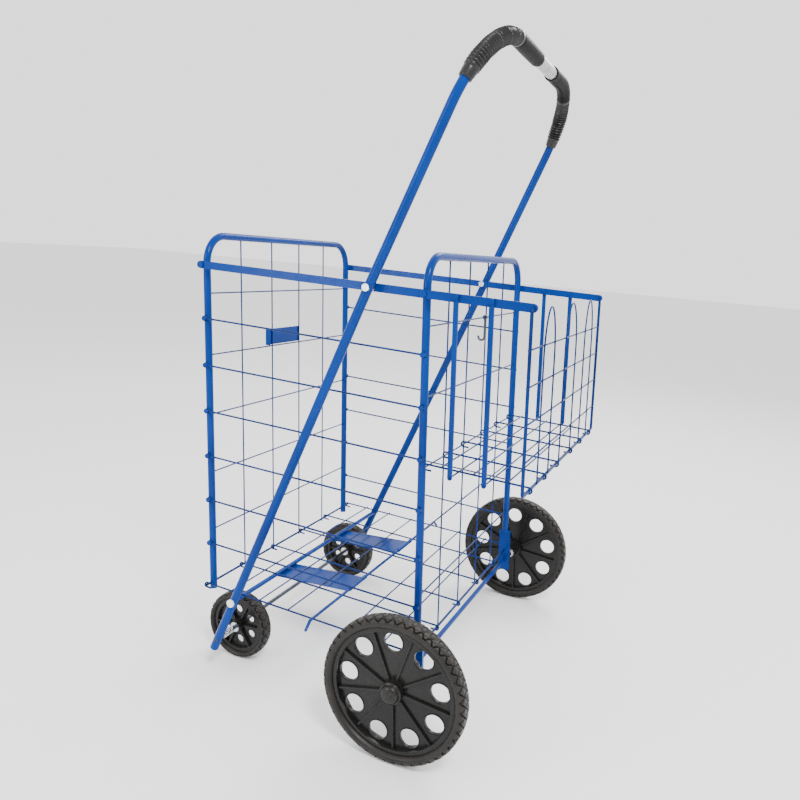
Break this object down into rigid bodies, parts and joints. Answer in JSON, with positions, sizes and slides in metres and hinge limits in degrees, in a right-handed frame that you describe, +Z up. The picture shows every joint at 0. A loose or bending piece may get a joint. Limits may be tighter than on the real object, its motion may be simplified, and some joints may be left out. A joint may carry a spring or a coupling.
{
  "type": "rolling basket trolley",
  "caption": "Folding rolling basket trolley: steel wire main basket, smaller rear basket, big rear wheels, small front wheels, leaning U handle with soft grips.",
  "frame": {"origin": "on the floor under the middle of the trolley's box", "axes": "+Z up; +X to the trolley's right seen from in front of the grip looking at the rear basket; travel towards -Y, grip and rear basket on +Y side"},
  "size_m": [0.662, 0.5692, 1.0386],
  "materials": {
    "blue_paint": "glossy cobalt blue paint on steel tube",
    "blue_wire": "glossy dark blue coating on steel wire",
    "bright_hardware": "bright zinc-plated fasteners and springs",
    "dark_steel": "dark plated steel",
    "white_caps": "white plastic",
    "grip_rubber": "matt charcoal soft grip",
    "wheel_plastic": "black moulded plastic, slightly glossy",
    "tyre_rubber": "matt black moulded tyre"
  },
  "bodies": {
    "rear_frame": {"rear_frame_tube": "blue_paint", "rear_frame_mesh": "blue_wire", "rear_axle": "blue_paint", "rear_axle_washers": "bright_hardware", "axle_gussets": "blue_paint", "rear_rail_bolts": "blue_paint", "rear_wire_rivets": "blue_paint", "rear_hub_caps": "wheel_plastic"},
    "storage_hook": {"storage_hook": "dark_steel"},
    "rails": {"rail_left": "blue_paint", "rail_right": "blue_paint", "basket_bar_rivets": "blue_paint"},
    "side_wires_1": {"side_wire_left_1": "blue_wire", "side_wire_right_1": "blue_wire"},
    "side_wires_2": {"side_wire_left_2": "blue_wire", "side_wire_right_2": "blue_wire"},
    "side_wires_3": {"side_wire_left_3": "blue_wire", "side_wire_right_3": "blue_wire"},
    "side_wires_4": {"side_wire_left_4": "blue_wire", "side_wire_right_4": "blue_wire"},
    "side_wires_5": {"side_wire_left_5": "blue_wire", "side_wire_right_5": "blue_wire"},
    "side_wires_6": {"side_wire_left_6": "blue_wire", "side_wire_right_6": "blue_wire"},
    "front_frame": {"front_frame_tube": "blue_paint", "front_frame_mesh": "blue_wire", "front_rail_bolts": "blue_paint", "front_wire_rivets": "blue_paint", "blank_label_plate": "blue_paint"},
    "floor": {"floor_grid": "blue_wire", "grid_support_rod": "blue_paint"},
    "link_plates": {"link_plate_left": "blue_paint", "link_plate_right": "blue_paint"},
    "handle": {"handle_tube": "blue_paint", "handle_bolts": "bright_hardware", "cross_rod": "blue_paint", "cross_rod_caps": "white_caps", "front_axle_rod": "dark_steel", "front_axle_springs": "bright_hardware", "front_axle_washers": "bright_hardware", "ribbed_grip_left": "grip_rubber", "ribbed_grip_right": "grip_rubber", "smooth_grip_left": "grip_rubber", "smooth_grip_right": "grip_rubber"},
    "rear_wheel_left": {"rear_wheel_left": "wheel_plastic", "rear_tyre_left": "tyre_rubber"},
    "front_wheel_left": {"front_wheel_left": "wheel_plastic", "front_tyre_left": "tyre_rubber"},
    "rear_wheel_right": {"rear_wheel_right": "wheel_plastic", "rear_tyre_right": "tyre_rubber"},
    "front_wheel_right": {"front_wheel_right": "wheel_plastic", "front_tyre_right": "tyre_rubber"},
    "back_panel": {"basket_back_panel": "blue_wire"},
    "tray": {"basket_tray": "blue_wire"},
    "bars_front": {"basket_bar_front_left": "blue_paint", "basket_bar_front_right": "blue_paint"},
    "bars_rear": {"basket_bar_rear_left": "blue_paint", "basket_bar_rear_right": "blue_paint"}
  },
  "joints": [
    {"name": "fold", "type": "hinge", "parent": "rear_frame", "child": "rails", "pos_m": [0, 0.10801, 0.66985], "axis": [-1, 0, 0], "range_deg": [0, 68.5]},
    {"name": "side_wires_1_turn", "type": "hinge", "parent": "rear_frame", "child": "side_wires_1", "pos_m": [0, 0.11299, 0.58469], "axis": [-1, 0, 0], "range_deg": [0, 69]},
    {"name": "side_wires_2_turn", "type": "hinge", "parent": "rear_frame", "child": "side_wires_2", "pos_m": [0, 0.11743, 0.50882], "axis": [-1, 0, 0], "range_deg": [0, 69]},
    {"name": "side_wires_3_turn", "type": "hinge", "parent": "rear_frame", "child": "side_wires_3", "pos_m": [0, 0.12187, 0.43295], "axis": [-1, 0, 0], "range_deg": [0, 69]},
    {"name": "side_wires_4_turn", "type": "hinge", "parent": "rear_frame", "child": "side_wires_4", "pos_m": [0, 0.12631, 0.35708], "axis": [-1, 0, 0], "range_deg": [0, 69]},
    {"name": "side_wires_5_turn", "type": "hinge", "parent": "rear_frame", "child": "side_wires_5", "pos_m": [0, 0.13075, 0.28121], "axis": [-1, 0, 0], "range_deg": [0, 69]},
    {"name": "side_wires_6_turn", "type": "hinge", "parent": "rear_frame", "child": "side_wires_6", "pos_m": [0, 0.13518, 0.20534], "axis": [-1, 0, 0], "range_deg": [0, 69]},
    {"name": "front_frame_turn", "type": "hinge", "parent": "rails", "child": "front_frame", "pos_m": [0, -0.27592, 0.67974], "axis": [-1, 0, 0], "range_deg": [-69, 0]},
    {"name": "floor_lift", "type": "hinge", "parent": "front_frame", "child": "floor", "pos_m": [0, -0.24453, 0.14306], "axis": [-1, 0, 0], "range_deg": [0, 69]},
    {"name": "link_plates_turn", "type": "hinge", "parent": "floor", "child": "link_plates", "pos_m": [0, -0.03195, 0.14508], "axis": [-1, 0, 0], "range_deg": [-144, 0]},
    {"name": "handle_turn", "type": "hinge", "parent": "rails", "child": "handle", "pos_m": [0, 0.03077, 0.67184], "axis": [-1, 0, 0], "range_deg": [-83, 0]},
    {"name": "back_panel_turn", "type": "hinge", "parent": "rails", "child": "back_panel", "pos_m": [0, 0.26401, 0.66582], "axis": [-1, 0, 0], "range_deg": [-69, 0]},
    {"name": "tray_lift", "type": "hinge", "parent": "back_panel", "child": "tray", "pos_m": [0, 0.27881, 0.41296], "axis": [-1, 0, 0], "range_deg": [0, 69]},
    {"name": "bars_front_turn", "type": "hinge", "parent": "rails", "child": "bars_front", "pos_m": [0, 0.15773, 0.67066], "axis": [-1, 0, 0], "range_deg": [-69, 0]},
    {"name": "bars_rear_turn", "type": "hinge", "parent": "rails", "child": "bars_rear", "pos_m": [0, 0.20839, 0.66936], "axis": [-1, 0, 0], "range_deg": [-69, 0]},
    {"name": "storage_hook_swing", "type": "hinge", "parent": "rear_frame", "child": "storage_hook", "pos_m": [0, 0.11072, 0.62362], "axis": [-1, 0, 0], "range_deg": [-60, 60]},
    {"name": "rear_wheel_left_roll", "type": "hinge", "parent": "rear_frame", "child": "rear_wheel_left", "pos_m": [0, 0.14067, 0.1115], "axis": [-1, 0, 0], "continuous": true},
    {"name": "rear_wheel_right_roll", "type": "hinge", "parent": "rear_frame", "child": "rear_wheel_right", "pos_m": [0, 0.14067, 0.1115], "axis": [-1, 0, 0], "continuous": true},
    {"name": "front_wheel_left_roll", "type": "hinge", "parent": "handle", "child": "front_wheel_left", "pos_m": [0, -0.20889, 0.0595], "axis": [-1, 0, 0], "continuous": true},
    {"name": "front_wheel_right_roll", "type": "hinge", "parent": "handle", "child": "front_wheel_right", "pos_m": [0, -0.20889, 0.0595], "axis": [-1, 0, 0], "continuous": true}
  ],
  "couplings": [
    {"joint": "side_wires_1_turn", "follows": "fold", "ratio": 1},
    {"joint": "side_wires_2_turn", "follows": "fold", "ratio": 1},
    {"joint": "side_wires_3_turn", "follows": "fold", "ratio": 1},
    {"joint": "side_wires_4_turn", "follows": "fold", "ratio": 1},
    {"joint": "side_wires_5_turn", "follows": "fold", "ratio": 1},
    {"joint": "side_wires_6_turn", "follows": "fold", "ratio": 1},
    {"joint": "front_frame_turn", "follows": "fold", "ratio": -1},
    {"joint": "floor_lift", "follows": "fold", "ratio": 1},
    {"joint": "link_plates_turn", "follows": "fold", "ratio": -2.09},
    {"joint": "handle_turn", "follows": "fold", "ratio": -1.2103},
    {"joint": "back_panel_turn", "follows": "fold", "ratio": -1},
    {"joint": "tray_lift", "follows": "fold", "ratio": 1},
    {"joint": "bars_front_turn", "follows": "fold", "ratio": -1},
    {"joint": "bars_rear_turn", "follows": "fold", "ratio": -1}
  ]
}
